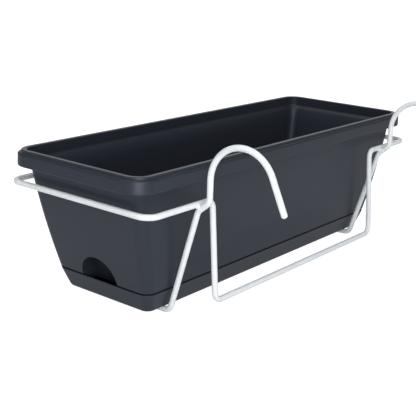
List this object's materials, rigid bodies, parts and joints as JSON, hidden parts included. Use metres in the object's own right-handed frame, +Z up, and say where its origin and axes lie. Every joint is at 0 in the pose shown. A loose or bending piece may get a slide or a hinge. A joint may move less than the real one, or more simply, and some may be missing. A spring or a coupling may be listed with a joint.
{
  "type": "window box planter",
  "caption": "Long tapered window box: planting trough over a drip tray with watering niches, carried by a bent wire hanger whose hooks go over a balcony rail",
  "frame": {"origin": "On the plane of the undersides of the two straps of the hook wires, midway between them and below the middle of the trough.", "axes": "+X runs along the box to its right end as seen from the rail, -Y points to the rail that the hooks go over, +Z is up."},
  "size_m": [0.5008, 0.2917, 0.1853],
  "materials": {
    "moulded_plastic": "matte",
    "coated_wire": "satin"
  },
  "bodies": {
    "hanger": {"ring_wire": "coated_wire", "left_hook_wire": "coated_wire", "right_hook_wire": "coated_wire", "weld_beads": "coated_wire"},
    "tray": {"drip_tray": "moulded_plastic"},
    "trough": {"trough": "moulded_plastic"}
  },
  "joints": [
    {"name": "tray_lift", "type": "slide", "parent": "hanger", "child": "tray", "axis": [0, 0, 1], "range_m": [0, 0.2]},
    {"name": "trough_lift", "type": "slide", "parent": "tray", "child": "trough", "axis": [0, 0, 1], "range_m": [0, 0.2]}
  ]
}
